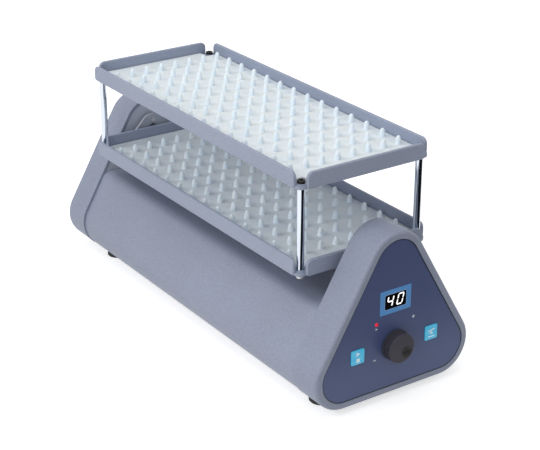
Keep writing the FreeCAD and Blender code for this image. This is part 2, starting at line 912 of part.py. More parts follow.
def tray(base, screws_below):
    """Shallow tray, open at the corners, with an ear and a boss for each rod."""
    half_x = tray_length / 2
    half_y = tray_width / 2
    floor_x = half_x - tray_wall / 2
    floor_y = half_y - tray_wall / 2
    floor = box(-floor_x, floor_x, -floor_y, floor_y, base, base + tray_floor)
    stop_x = half_x - wall_stop_x - wall_low_round
    stop_y = half_y - wall_stop_y - wall_low_round
    corners = []
    for sx in (-1, 1):
        for sy in (-1, 1):
            x = sorted((sx * half_x, sx * stop_x))
            y = sorted((sy * half_y, sy * stop_y))
            corners.append(box(x[0], x[1], y[0], y[1], base - past, base + tray_floor + past))
    floor = floor.cut(corners)
    parts = []
    for x, y in rod_places():
        parts.append(rod_z(x, y, base, base + tray_floor, ear_radius))
        parts.append(rod_z(x, y, base - boss_under, base + tray_floor + boss_over, boss_radius))
    body = floor.fuse(parts + tray_rims(base)).removeSplitter()
    holes = [rod_z(x, y, base - tray_height, base + tray_height, deck_screw[0] + screw_gap)
             for x, y in rod_places()]
    if screws_below:
        end = base + tray_floor - bracket_screw_skin
        for x, y in bracket_screw_places():
            holes.append(rod_z(x, y, base - past, end, medium_screw[0]))
            holes.append(rod_z(-x, y, base - past, end, medium_screw[0]))
    return body.cut(holes)


def lower_tray():
    return tray(lower_tray_height, True)


def upper_tray():
    return tray(upper_tray_height, False)


def peg(x, y, base):
    """Six-sided tapered peg."""
    turns = [2 * math.pi * i / peg_sides for i in range(peg_sides)]
    low = [Vector(x + peg_base_radius * math.cos(t), y + peg_base_radius * math.sin(t), base) for t in turns]
    tip = base + peg_height
    high = [Vector(x + peg_tip_radius * math.cos(t), y + peg_tip_radius * math.sin(t), tip) for t in turns]
    rings = [low, high]
    for i in range(peg_sides):
        j = (i + 1) % peg_sides
        rings.append([low[i], low[j], high[j], high[i]])
    faces = [Part.Face(Part.makePolygon(ring + ring[:1])) for ring in rings]
    return Part.makeSolid(Part.makeShell(faces))


def centred(length, margin, pitch):
    """Evenly spaced places about zero that stay a margin clear of both ends."""
    count = int((length - 2 * margin) / pitch) + 1
    return [(i - (count - 1) / 2) * pitch for i in range(count)]


def mat(tray_base):
    """Soft mat with a grid of pegs on it, each peg a solid that stands on the sheet."""
    base = tray_base + tray_floor
    half_x = tray_length / 2 - tray_wall - mat_gap
    half_y = tray_width / 2 - tray_wall - mat_gap
    top = base + mat_thickness
    sheet = box(-half_x, half_x, -half_y, half_y, base, top)
    corner_reach = ear_radius + mat_corner_gap
    corners = []
    for x, y in rod_places():
        xs = sorted((x - math.copysign(corner_reach, x), x + math.copysign(mat_corner_reach, x)))
        ys = sorted((y - math.copysign(corner_reach, y), y + math.copysign(mat_corner_reach, y)))
        corners.append(box(xs[0], xs[1], ys[0], ys[1], base - past, top + past))
    sheet = sheet.cut(corners)
    columns = centred(2 * half_x, peg_end_margin, peg_pitch_x)
    rows = centred(2 * half_y, peg_side_margin, peg_pitch_y)
    return group([sheet] + [peg(x, y, top) for x in columns for y in rows])


def corner_rod(x, y):
    """Chromed rod between the decks, drilled at both ends."""
    start = lower_tray_height + tray_floor + boss_over
    end = upper_tray_height - boss_under
    rod = rod_z(x, y, start, end, rod_radius)
    holes = [rod_z(x, y, start - past, start + rod_thread, deck_screw[0])]
    holes.append(rod_z(x, y, end - rod_thread, end + past, deck_screw[0]))
    return rod.cut(holes)


def rod_screw_length():
    return boss_under + tray_floor + boss_over + rod_thread - past


def lower_rod_screws():
    base = lower_tray_height - boss_under
    length = rod_screw_length()
    up = Vector(0, 0, 1)
    return group([screw(Vector(x, y, base), up, deck_screw, length, socket=True) for x, y in rod_places()])


def upper_rod_screws():
    base = upper_tray_height + tray_floor + boss_over
    length = rod_screw_length()
    down = Vector(0, 0, -1)
    return group([screw(Vector(x, y, base), down, deck_screw, length, socket=True) for x, y in rod_places()])


def tray_bracket():
    """Bent bracket under the lower tray that rises to the rocking axis."""
    under = lower_tray_height
    low = under - bracket_thickness
    start = tray_length / 2 - bracket_flange
    flange = box(start, bracket_outer, -bracket_half_width, bracket_half_width, low, under)
    half_y = bracket_half_width - bracket_corner_radius
    blade = rounded_triangle(bracket_inner, bracket_outer, half_y, low + bracket_corner_radius,
                             bracket_corner_radius, axis_height, bracket_top_radius)
    square = box(bracket_inner, bracket_outer, -bracket_half_width, bracket_half_width, low,
                 low + bracket_corner_radius)
    body = flange.fuse([blade, square]).removeSplitter()
    bend = [e for e in body.Edges if is_bend(e, bracket_inner, under)]
    body = body.makeFillet(bracket_bend_round, bend)
    tools = [rod_x(0, half_length, 0, axis_height, journal_radius)]
    for y, z in shaft_screw_places():
        tools.append(rod_x(0, half_length, y, z, small_screw[0] + screw_gap))
    for x, y in bracket_screw_places():
        tools.append(rod_z(x, y, 0, under + past, medium_screw[0] + screw_gap))
    return body.cut(tools)


def bracket_screws():
    base = lower_tray_height - bracket_thickness
    length = bracket_thickness + tray_floor - bracket_screw_skin
    up = Vector(0, 0, 1)
    screws = []
    for x, y in bracket_screw_places():
        screws.append(screw(Vector(x, y, base), up, medium_screw, length, hexed=True))
    return group(screws + [turned(s) for s in screws])


# Front panel

def display_opening(x0, x1, gap):
    width = window_width + 2 * lens_flange + 2 * gap
    height = window_height + 2 * lens_flange + 2 * gap
    return box(x0, x1, display_y - width / 2, display_y + width / 2,
               display_height - height / 2, display_height + height / 2)


def key_block(x0, x1, y, gap):
    size = key_size + 2 * gap
    return rounded_block(x0, x1, y, key_height, size, size, key_round + gap)


def panel_overlay():
    """Front sheet in the field of the panel end."""
    sheet = housing_section(field_face, overlay_face, field_inset + overlay_gap)
    room = (field_face - past, overlay_face + past)
    width = bezel_width + 2 * lens_gap
    height = bezel_height + 2 * lens_gap
    tools = [rounded_block(*room, display_y, display_height, width, height, bezel_round + lens_gap)]
    tools.append(rod_x(*room, lamp_y, lamp_height, lamp_radius + lens_gap))
    tools.append(rod_x(*room, 0, knob_height, nut_flats / math.sqrt(3) + nut_clearance))
    for y in (-key_y, key_y):
        tools.append(key_block(*room, y, key_gap))
    return sheet.cut(tools)


def display_bezel():
    outer = rounded_block(field_face, overlay_face, display_y, display_height,
                          bezel_width, bezel_height, bezel_round)
    width = window_width + 2 * lens_gap
    height = window_height + 2 * lens_gap
    return outer.cut(rounded_block(field_face - past, half_length + past, display_y, display_height,
                                   width, height, window_round))


def display_window():
    """Dark lens with a step behind the bezel."""
    lens = rounded_block(field_face - lens_flange_thickness, overlay_face - lens_recess, display_y,
                         display_height, window_width, window_height, window_round)
    flange = display_opening(field_face - lens_flange_thickness, field_face, 0.0)
    return lens.fuse(flange).removeSplitter()


def display_module():
    front = field_face - lens_flange_thickness - module_gap
    return display_opening(board_front, front, -module_inset)


def indicator_lamp():
    """Round lamp with a domed end."""
    body = rod_x(board_front, overlay_face + lamp_proud, lamp_y, lamp_height, lamp_radius)
    rims = [e for e in body.Edges if e.BoundBox.XMin > overlay_face]
    body = body.makeFillet(lamp_end_round, rims)
    collar_end = board_front + lamp_collar_length
    collar = rod_x(board_front, collar_end, lamp_y, lamp_height, lamp_radius + lamp_collar)
    return body.fuse(collar)


def control_board():
    """Board on four posts behind the panel."""
    half = [(board_low_y, board_low_height), (board_low_y, board_mid_height), (board_top_y, board_top_height)]
    outline = half + [(-y, z) for y, z in reversed(half)]
    board = prism_x(outline, board_back, board_front)
    tools = [rod_x(0, half_length, y, z, small_screw[0] + screw_gap) for y, z in board_post_places()]
    return board.cut(tools)


def board_screws():
    length = board_thickness + screw_bite - board_screw_spare
    along = Vector(1, 0, 0)
    places = board_post_places()
    return group([screw(Vector(board_back, y, z), along, small_screw, length) for y, z in places])


def key_switches():
    """Push switches on the board, each with a guide for the key's stem."""
    end = key_back() - key_travel - key_gap
    switches = []
    for y in (-key_y, key_y):
        body = box(board_front, end, y - switch_size / 2, y + switch_size / 2,
                   key_height - switch_size / 2, key_height + switch_size / 2)
        guide = rod_x(board_front + switch_floor, end + past, y, key_height, key_stem_radius + key_stem_gap)
        switches.append(body.cut(guide))
    return group(switches)


def key_back():
    """Where the key's flange ends, behind the wall."""
    return front_wall_back - key_gap - key_flange_thickness


def panel_key(y):
    """Key cap with a flange that keeps it behind the wall and a stem that presses the switch."""
    flange_end = front_wall_back - key_gap
    cap = key_block(flange_end, overlay_face + key_proud, y, 0.0)
    rim = [e for e in cap.Edges if e.BoundBox.XMin > overlay_face + key_proud - 0.01]
    cap = cap.makeChamfer(key_edge_bevel, rim)
    size = key_size + 2 * key_flange
    flange = box(key_back(), flange_end, y - size / 2, y + size / 2,
                 key_height - size / 2, key_height + size / 2)
    stem_end = board_front + switch_floor + key_travel + key_gap
    stem = rod_x(stem_end, key_back(), y, key_height, key_stem_radius)
    return cap.fuse([flange, stem]).removeSplitter()


def bushing_end():
    return field_face + nut_thickness + neck_past_nut


def speed_encoder():
    """Turning encoder on the board, with a threaded neck through the wall."""
    half = encoder_size / 2
    body = box(board_front, board_front + encoder_length, -half, half, knob_height - half, knob_height + half)
    neck = rod_x(board_front, bushing_end(), 0, knob_height, bushing_radius)
    bore_start = board_front + encoder_floor
    bore = rod_x(bore_start, knob_front(), 0, knob_height, knob_shaft_radius + running_gap)
    return body.fuse(neck).cut(bore)


def encoder_nut():
    points = []
    for i in range(6):
        angle = math.pi / 3 * i
        points.append(polar(knob_height, nut_flats / math.sqrt(3), angle))
    nut = prism_x(points, field_face, field_face + nut_thickness)
    return nut.cut(rod_x(0, knob_front(), 0, knob_height, bushing_radius))


def knob_shaft():
    start = board_front + encoder_floor + shaft_end_gap
    return rod_x(start, knob_front() - knob_face, 0, knob_height, knob_shaft_radius)


def knob_front():
    return overlay_face + knob_proud


def speed_knob():
    """Ribbed knob with a skirt, a smooth front band and a finger dimple in its face."""
    back = overlay_face + knob_panel_gap
    skirt_end = back + knob_skirt_length
    band_start = knob_front() - knob_front_band
    band = rod_x(band_start, knob_front(), 0, knob_height, knob_front_radius)
    rims = [e for e in band.Edges if e.BoundBox.XMin > knob_front() - 0.01]
    band = band.makeFillet(knob_edge_round, rims)
    outline = []
    for i in range(2 * knob_ribs):
        radius = knob_rib_valley if i % 2 else knob_rib_crest
        outline.append(polar(knob_height, radius, math.pi * i / knob_ribs))
    grip = prism_x(outline, skirt_end, band_start)
    skirt = rod_x(back, skirt_end, 0, knob_height, knob_radius)
    body = skirt.fuse([grip, band])
    ball = (dimple_radius ** 2 + dimple_depth ** 2) / (2 * dimple_depth)
    centre = Vector(knob_front() + ball - dimple_depth, dimple_y, knob_height - dimple_drop)
    hollow = rod_x(back - past, back + knob_hollow_depth, 0, knob_height, knob_hollow_radius)
    bore = rod_x(back - past, knob_front() - knob_face, 0, knob_height, knob_shaft_radius)
    return body.cut([Part.makeSphere(ball, centre), hollow, bore])


# Power inlet

def power_inlet():
    """Low-voltage round inlet with its nut, in the rear end."""
    face = field_face
    flange = rod_x(face, face + inlet_flange, -inlet_y, inlet_height, inlet_flange_radius)
    barrel = rod_x(face - inlet_depth, face, -inlet_y, inlet_height, inlet_radius)
    nut_start = front_wall_back - inlet_nut
    nut = rod_x(nut_start, front_wall_back, -inlet_y, inlet_height, inlet_nut_radius)
    bore_start = face - inlet_depth + inlet_bore_floor
    bore = rod_x(bore_start, face + 2 * inlet_flange, -inlet_y, inlet_height, inlet_bore_radius)
    pin = rod_x(bore_start - past, face - inlet_pin_recess, -inlet_y, inlet_height, inlet_pin_radius)
    body = flange.fuse([barrel, nut]).removeSplitter().cut(bore)
    return turned(body.fuse(pin).removeSplitter())


def build_nodes():
    """Every piece by its node name."""
    nodes = {
        "centre_housing": centre_housing(),
        "panel_end_housing": panel_end_housing(),
        "rear_end_housing": rear_end_housing(),
        "panel_end_cheek": end_cheek(),
        "rear_end_cheek": turned(end_cheek()),
        "cheek_screws": cheek_screws(),
        "base_plate": base_plate(),
        "panel_upright": upright(),
        "rear_upright": rear_upright(),
        "upright_screws": upright_screws(),
        "panel_bush": bush(),
        "rear_bush": turned(bush()),
        "foot_screws": foot_screws(),
        "housing_screws": housing_screws(),
        "idler_shaft": idler_shaft(),
        "drive_shaft": drive_shaft(),
        "shaft_rings": shaft_rings(),
        "shaft_screws": shaft_screws(),
        "sector_gear": sector_gear(),
        "motor_pinion": motor_pinion(),
        "motor_shaft": motor_shaft(),
        "gear_motor": gear_motor(),
        "motor_screws": motor_screws(),
        "lower_tray": lower_tray(),
        "upper_tray": upper_tray(),
        "lower_mat": mat(lower_tray_height),
        "upper_mat": mat(upper_tray_height),
        "lower_rod_screws": lower_rod_screws(),
        "upper_rod_screws": upper_rod_screws(),
        "idler_bracket": tray_bracket(),
        "drive_bracket": turned(tray_bracket()),
        "bracket_screws": bracket_screws(),
        "panel_overlay": panel_overlay(),
        "display_bezel": display_bezel(),
        "display_window": display_window(),
        "display_module": display_module(),
        "indicator_lamp": indicator_lamp(),
        "control_board": control_board(),
        "board_screws": board_screws(),
        "key_switches": key_switches(),
        "left_key": panel_key(-key_y),
        "right_key": panel_key(key_y),
        "speed_encoder": speed_encoder(),
        "encoder_nut": encoder_nut(),
        "knob_shaft": knob_shaft(),
        "speed_knob": speed_knob(),
        "power_inlet": power_inlet(),
    }
    for number, (x, y) in enumerate(foot_places(), start=1):
        nodes["foot_%d" % number] = foot(x, y)
    for number, (x, y) in enumerate(rod_places(), start=1):
        nodes["corner_rod_%d" % number] = corner_rod(x, y)
    return nodes


def middle_x():
    """Middle of the whole part, which the knob carries past the housing's own."""
    return (knob_front() - (field_face + inlet_flange)) / 2


os.makedirs("parts", exist_ok=True)
for name, shape in build_nodes().items():
    shape.translate(Vector(-middle_x(), 0, 0))
    shape.exportStep("parts/%s.step" % name)
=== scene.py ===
import json
import math
import bmesh
import bpy
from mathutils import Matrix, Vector


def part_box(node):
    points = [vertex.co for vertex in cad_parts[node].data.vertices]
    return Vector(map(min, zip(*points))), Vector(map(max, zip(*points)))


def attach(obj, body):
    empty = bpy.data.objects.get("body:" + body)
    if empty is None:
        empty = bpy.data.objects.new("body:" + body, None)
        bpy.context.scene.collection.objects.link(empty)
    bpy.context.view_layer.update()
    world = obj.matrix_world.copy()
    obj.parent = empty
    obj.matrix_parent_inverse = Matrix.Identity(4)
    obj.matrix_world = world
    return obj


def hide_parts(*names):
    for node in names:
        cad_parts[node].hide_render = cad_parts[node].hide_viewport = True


# Looks of a laboratory tube rocker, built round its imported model. Metres.
# X runs along the rocking axis towards the control panel, Y across it, Z up.

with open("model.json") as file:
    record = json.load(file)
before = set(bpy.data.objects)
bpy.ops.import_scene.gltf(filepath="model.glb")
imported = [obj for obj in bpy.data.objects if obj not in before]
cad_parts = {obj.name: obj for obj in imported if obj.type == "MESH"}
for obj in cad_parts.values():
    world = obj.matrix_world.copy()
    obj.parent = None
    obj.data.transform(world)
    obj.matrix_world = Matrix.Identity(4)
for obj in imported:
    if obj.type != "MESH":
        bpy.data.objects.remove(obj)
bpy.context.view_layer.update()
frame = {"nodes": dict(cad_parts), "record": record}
NODES = frame["nodes"]
SLOTS = {part["node"]: part["material_slot"] for part in frame["record"]["subparts"]}
END_HOUSINGS = ("panel_end_housing", "rear_end_housing")
FOOT_NUMBERS = (1, 2, 3, 4)
MM = 0.001
WELD_DISTANCE = 0.001 * MM
# How near to an edge or face a corner counts as part of it
TOLERANCE = 0.01 * MM

# Camera, as fitted to the photograph of 540 x 450 pixels
PHOTO_WIDTH = 540
FOCAL_PIXELS = 1492.88
SENSOR_WIDTH = 36.0
CAMERA_PLACE = Vector((0.98936, -0.65684, 0.6022))
CAMERA_AZIMUTH = math.radians(55.72)
CAMERA_ELEVATION = math.radians(23.88)


def linear(red, green, blue):
    """Colour given as 0 to 255 screen values, for a shader socket."""
    shares = [value / 255 for value in (red, green, blue)]
    bent = [s / 12.92 if s <= 0.04045 else ((s + 0.055) / 1.055) ** 2.4 for s in shares]
    return (*bent, 1.0)


# Part of a noise's range that is spread over the range asked for
NOISE_LOW = 0.3
NOISE_HIGH = 0.7
# Share and scale of the slow drift in a plastic's colour, and scale of its specks against its grain
DRIFT_SHARE = 0.35
DRIFT_SCALE = 9.0
SPECK_SHARE = 0.5
# How far the roughness of a surface goes below and above its middle value
PLASTIC_SPREAD = (0.06, 0.08)
METAL_SPREAD = (0.08, 0.1)
INK_ROUGHNESS = 0.5
INK_SPREAD = 0.08


class Finish:
    """A procedural material being put together."""

    def __init__(self, name, color, roughness, metallic=0.0):
        self.material = bpy.data.materials.new(name)
        self.material.use_nodes = True
        self.tree = self.material.node_tree
        self.shader = self.tree.nodes["Principled BSDF"]
        self.shader.inputs["Base Color"].default_value = color
        self.shader.inputs["Roughness"].default_value = roughness
        self.shader.inputs["Metallic"].default_value = metallic
        self.place = self.node("ShaderNodeTexCoord").outputs["Object"]
        self.normal = None

    def node(self, kind, **settings):
        """A new shader node with some of its properties set."""
        made = self.tree.nodes.new(kind)
        for key, value in settings.items():
            setattr(made, key, value)
        return made

    def link(self, output, socket):
        self.tree.links.new(output, socket)

    def set(self, socket, value):
        """A constant on one of the shader's sockets."""
        self.shader.inputs[socket].default_value = value
        return self

    def noise(self, scale, detail=2.0, stretch=(1.0, 1.0, 1.0)):
        """Noise value over the surface; scale is in cycles per metre."""
        spread = self.node("ShaderNodeMapping")
        spread.inputs["Scale"].default_value = stretch
        self.link(self.place, spread.inputs["Vector"])
        cloud = self.node("ShaderNodeTexNoise")
        cloud.inputs["Scale"].default_value = scale
        cloud.inputs["Detail"].default_value = detail
        self.link(spread.outputs["Vector"], cloud.inputs["Vector"])
        return cloud.outputs["Fac"]

    def between(self, value, low, high):
        """Spreads the middle of a noise's range from low to high."""
        span = self.node("ShaderNodeMapRange")
        span.inputs["From Min"].default_value = NOISE_LOW
        span.inputs["From Max"].default_value = NOISE_HIGH
        span.inputs["To Min"].default_value = low
        span.inputs["To Max"].default_value = high
        self.link(value, span.inputs["Value"])
        return span.outputs["Result"]

    def tint(self, value, first, second):
        """Base colour that drifts from first to second with a value of 0 to 1."""
        mix = self.node("ShaderNodeMix", data_type="RGBA")
        mix.inputs["A"].default_value = first
        mix.inputs["B"].default_value = second
        self.link(value, mix.inputs["Factor"])
        self.link(mix.outputs["Result"], self.shader.inputs["Base Color"])
        return self

    def rough(self, value, low, high):
        """Roughness that goes from low to high with a noise value."""
        self.link(self.between(value, low, high), self.shader.inputs["Roughness"])
        return self

    def bump(self, value, height, strength=1.0):
        """Relief of that height in metres."""
        relief = self.node("ShaderNodeBump")
        relief.inputs["Strength"].default_value = strength
        relief.inputs["Distance"].default_value = height
        self.link(value, relief.inputs["Height"])
        if self.normal is not None:
            self.link(self.normal, relief.inputs["Normal"])
        self.normal = relief.outputs["Normal"]
        self.link(self.normal, self.shader.inputs["Normal"])
        return self


def moulded(name, color, other, roughness, grain=1400.0, relief=0.00004):
    """Moulded plastic with a spark grain and a faint drift between two colours."""
    color, other = linear(*color), linear(*other)
    finish = Finish(name, color, roughness)
    drift = finish.node("ShaderNodeMath", operation="MULTIPLY")
    drift.inputs[1].default_value = DRIFT_SHARE
    finish.link(finish.noise(DRIFT_SCALE, 3.0), drift.inputs[0])
    speck = finish.node("ShaderNodeMath", operation="MULTIPLY_ADD")
    speck.inputs[1].default_value = 1 - DRIFT_SHARE
    finish.link(finish.noise(grain * SPECK_SHARE, 4.0), speck.inputs[0])
    finish.link(drift.outputs["Value"], speck.inputs[2])
    finish.tint(finish.between(speck.outputs["Value"], 0.0, 1.0), color, other)
    texture = finish.noise(grain, 3.0)
    finish.rough(texture, roughness - PLASTIC_SPREAD[0], roughness + PLASTIC_SPREAD[1])
    finish.bump(texture, relief, 0.6)
    return finish.material


def overlay_sheet():
    """Printed polyester sheet, navy, with painted light: a little lighter and bluer to the lower right, as if
    lit from there.
    """
    finish = Finish("overlay_print_painted_light", linear(82, 88, 122), 0.42)
    low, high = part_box("panel_overlay")
    parts = finish.node("ShaderNodeSeparateXYZ")
    finish.link(finish.place, parts.inputs["Vector"])
    slope = finish.node("ShaderNodeMath", operation="SUBTRACT")
    finish.link(parts.outputs["Y"], slope.inputs[0])
    finish.link(parts.outputs["Z"], slope.inputs[1])
    span = finish.node("ShaderNodeMapRange")
    span.inputs["From Min"].default_value = -high.z
    span.inputs["From Max"].default_value = high.y - low.z
    finish.link(slope.outputs["Value"], span.inputs["Value"])
    # Painted light: the sheet turns lighter and bluer towards its lower right
    finish.tint(span.outputs["Result"], linear(66, 78, 119), linear(69, 84, 125))
    grain = finish.noise(2600.0, 2.0)
    finish.rough(grain, 0.36, 0.5)
    finish.bump(grain, 0.000015, 0.5)
    return finish.material


def silicone():
    """Soft milky silicone, matt, that lets a little light through."""
    finish = Finish("mat_silicone_clear", linear(226, 238, 248), 0.42)
    finish.set("Subsurface Weight", 0.7).set("Subsurface Scale", 0.004)
    finish.set("Subsurface Radius", (1.0, 1.0, 1.1))
    cloud = finish.noise(60.0, 3.0)
    finish.tint(finish.between(cloud, 0.0, 1.0), linear(222, 235, 247), linear(232, 241, 248))
    skin = finish.noise(900.0, 2.0)
    finish.rough(skin, 0.34, 0.55)
    finish.bump(skin, 0.00003, 0.5)
    return finish.material


def chrome():
    """Polished chrome with faint lengthwise streaks."""
    finish = Finish("polished_chrome", linear(206, 213, 224), 0.07, 1.0)
    streak = finish.noise(500.0, 2.0, (1.0, 1.0, 0.02))
    finish.rough(streak, 0.04, 0.12)
    return finish.material


def metal(name, color, other, roughness, grain=400.0, relief=0.00001):
    """Bare or plated metal with a faint mottle."""
    color, other = linear(*color), linear(*other)
    finish = Finish(name, color, roughness, 1.0)
    mottle = finish.noise(grain, 4.0)
    finish.tint(finish.between(mottle, 0.0, 1.0), color, other)
    finish.rough(mottle, roughness - METAL_SPREAD[0], roughness + METAL_SPREAD[1])
    finish.bump(mottle, relief, 0.5)
    return finish.material


def rubber():
    """Black rubber, a little dusty."""
    finish = Finish("foot_rubber_black", linear(30, 30, 32), 0.7)
    dust = finish.noise(120.0, 5.0)
    finish.tint(finish.between(dust, 0.0, 1.0), linear(22, 22, 24), linear(48, 47, 47))
    finish.bump(finish.noise(1500.0, 3.0), 0.00005, 0.7)
    return finish.material


def lens():
    """Dark window of the display."""
    finish = Finish("display_lens", linear(6, 6, 8), 0.2)
    finish.set("Specular IOR Level", 0.25)
    smear = finish.noise(220.0, 3.0)
    finish.rough(smear, 0.14, 0.28)
    return finish.material


def glowing(name, color, strength):
    """Lit segment or lamp."""
    color = linear(*color)
    finish = Finish(name, color, 0.35)
    finish.set("Emission Color", color).set("Emission Strength", strength)
    spot = finish.noise(1200.0, 2.0)
    finish.rough(spot, 0.25, 0.45)
    return finish.material


def key_plastic():
    """Clear cyan key cap over a lit film."""
    finish = Finish("key_cap_cyan", linear(70, 204, 248), 0.3)
    finish.set("Subsurface Weight", 0.25).set("Subsurface Scale", 0.002)
    finish.set("Coat Weight", 0.4).set("Coat Roughness", 0.2)
    cloud = finish.noise(260.0, 4.0)
    finish.tint(finish.between(cloud, 0.0, 1.0), linear(60, 196, 244), linear(84, 212, 252))
    finish.bump(finish.noise(1800.0, 2.0), 0.00001, 0.5)
    return finish.material


def print_ink_and_shade(name, color):
    """Dull screen ink, also used for a line of painted shade."""
    finish = Finish(name, linear(*color), INK_ROUGHNESS)
    speck = finish.noise(3000.0, 2.0)
    finish.rough(speck, INK_ROUGHNESS - INK_SPREAD, INK_ROUGHNESS + INK_SPREAD)
    finish.bump(speck, 0.00001, 0.4)
    return finish.material


def dimple_shade_plastic():
    """Smooth black plastic, far darker than the knob as painted shade in its dimple, worn matt by fingers."""
    finish = Finish("knob_dimple_painted_shade", linear(11, 11, 14), 0.5)
    wear = finish.noise(700.0, 3.0)
    finish.rough(wear, 0.42, 0.58)
    return finish.material


# By the record's slots: colours as screen values, roughness, grain in cycles per metre, relief in metres
MATERIALS = {
    "housing_grey": moulded("housing_plastic", (129, 136, 154), (150, 157, 177), 0.5, 1400.0, 0.00007),
    # Cheeks: much lighter than the housing plastic, painted light that lifts the shade of their recess
    # between the trays
    "cheek_grey": moulded("cheek_plastic_painted_light", (178, 183, 195), (192, 197, 208), 0.5),
    # Brackets: grey paint, made lighter as painted light that lifts the shade they stand in
    "bracket_grey": moulded("bracket_paint_and_painted_light", (170, 175, 187), (174, 180, 192), 0.42),
    "tray_grey": moulded("tray_plastic", (136, 144, 164), (155, 164, 184), 0.48, 1400.0, 0.00006),
    "mat_silicone": silicone(),
    "rod_chrome": chrome(),
    "zinc_steel": metal("zinc_plate", (190, 192, 192), (206, 205, 198), 0.38),
    "black_screw": metal("black_oxide", (42, 42, 45), (58, 57, 58), 0.42),
    "foot_rubber": rubber(),
    "overlay_blue": overlay_sheet(),
    "bezel_blue": moulded("bezel_print", (80, 141, 204), (85, 148, 211), 0.4, 2400.0, 0.00001),
    "display_black": lens(),
    "lamp_red": glowing("lamp_red_lens", (224, 30, 60), 0.3),
    "key_cyan": key_plastic(),
    "knob_black": moulded("knob_plastic", (49, 48, 58), (56, 55, 65), 0.6, 1900.0, 0.00005),
    "board_green": moulded("board_resist", (32, 108, 68), (40, 120, 76), 0.35, 900.0, 0.00001),
    "bush_bronze": metal("sintered_bronze", (172, 132, 84), (186, 148, 98), 0.45, 900.0),
    "gear_white": moulded("gear_acetal", (226, 224, 214), (234, 232, 224), 0.4),
    "motor_steel": metal("motor_can", (168, 170, 172), (182, 183, 183), 0.34),
    "inlet_black": moulded("inlet_plastic", (36, 36, 40), (44, 44, 48), 0.4),
}
# End housings: a darker copy of the housing plastic, painted shade that sets them apart from the centre shell
END_SHADED_PLASTIC = moulded("end_housing_painted_shade", (126, 133, 151), (146, 153, 173), 0.5, 1400.0, 0.00007)
# Painted shade: dark line where the front sheet meets the housing's rim
SEAM_SHADE = print_ink_and_shade("seam_painted_shade", (34, 38, 58))
WHITE_INK = print_ink_and_shade("white_ink", (226, 230, 236))
PALE_INK = print_ink_and_shade("pale_cyan_ink", (226, 248, 255))
RIM_INK = print_ink_and_shade("rim_ink", (140, 180, 222))
DIMPLE_SHADE_PLASTIC = dimple_shade_plastic()
DIGIT_LIGHT = glowing("digit_light", (255, 255, 255), 0.9)


def dress(piece, material):
    """Gives a piece one material in place of those that it has."""
    piece.data.materials.clear()
    piece.data.materials.append(material)
    return piece


def smooth_by_angle(piece, degrees=32.0):
    """Smooth shading that keeps the edges sharper than an angle."""
    limit = math.radians(degrees)
    mesh = bmesh.new()
    mesh.from_mesh(piece.data)
    for edge in mesh.edges:
        edge.smooth = len(edge.link_faces) != 2 or edge.calc_face_angle(0.0) < limit
    for face in mesh.faces:
        face.smooth = True
    mesh.to_mesh(piece.data)
    mesh.free()
    return piece


def add_piece(name, shape, material, body, stands_for=()):
    """A new mesh piece that rides on a body, and may stand for nodes."""
    data = bpy.data.meshes.new(name)
    data.from_pydata(shape.points, [], shape.faces)
    mesh = bmesh.new()
    mesh.from_mesh(data)
    bmesh.ops.remove_doubles(mesh, verts=mesh.verts, dist=WELD_DISTANCE)
    bmesh.ops.recalc_face_normals(mesh, faces=mesh.faces)
    mesh.to_mesh(data)
    mesh.free()
    made = bpy.data.objects.new(name, data)
    bpy.context.scene.collection.objects.link(made)
    smooth_by_angle(dress(made, material))
    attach(made, body)
    if stands_for:
        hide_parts(*stands_for)


class Shape:
    """Points and faces being collected for one mesh."""

    def __init__(self):
        self.points = []
        self.faces = []

    def ring(self, points):
        """Adds points and gives their indices."""
        start = len(self.points)
        self.points.extend(points)
        return list(range(start, start + len(points)))

    def band(self, lower, upper):
        """Faces between two closed rings of as many points."""
        count = len(lower)
        for i in range(count):
            j = (i + 1) % count
            self.faces.append((lower[i], lower[j], upper[j], upper[i]))

    def stack(self, rings, start_cap=True, end_cap=True):
        """Bands between rings that follow each other, closed at the ends."""
        indices = [self.ring(points) for points in rings]
        for i in range(len(indices) - 1):
            self.band(indices[i], indices[i + 1])
        if start_cap:
            self.faces.append(tuple(reversed(indices[0])))
        if end_cap:
            self.faces.append(tuple(indices[-1]))

    def hoop(self, rings):
        """Bands round a hollow shape, from the last ring back to the first."""
        self.stack(rings + rings[:1], start_cap=False, end_cap=False)


def round_points(centre, radius, sides, turn=0.0):
    """Points of a plane round a centre."""
    angles = [2 * math.pi * i / sides + turn for i in range(sides)]
    return [(centre[0] + radius * math.cos(angle), centre[1] + radius * math.sin(angle)) for angle in angles]


def circle(radius, level, centre, sides, turn=0.0):
    """Ring of points round a centre in plan, at a level."""
    return [(x, y, level) for x, y in round_points(centre, radius, sides, turn)]


# Mats: one moulding each, whose pegs grow out of the sheet with a small fillet

MAT_SHEET = 1.8 * MM
MAT_BEVEL = 0.35 * MM
MAT_NOTCH_X = 11.6 * MM
MAT_NOTCH_Y = 11.1 * MM
PEG_PITCH_X = 20.6 * MM
PEG_PITCH_Y = 15.0 * MM
PEG_COLUMNS = 14
PEG_ROWS = 8
PEG_SIDES = 16
PEG_TURN = math.pi / 4
# Radius and height over the sheet, both in mm, of the rings from foot to tip
PEG_PROFILE = (
    (3.05, 0.0), (2.78, 0.12), (2.62, 0.42), (2.54, 1.1), (2.44, 2.2), (2.28, 3.4), (2.06, 4.6),
    (1.76, 5.6), (1.4, 6.35), (0.98, 6.85), (0.5, 7.12),
)
PEG_TIP = 7.2
# How far the strips of the border run under the grid of cells, and how deep
TUCK = 0.04 * MM
TUCK_DROP = 0.01 * MM


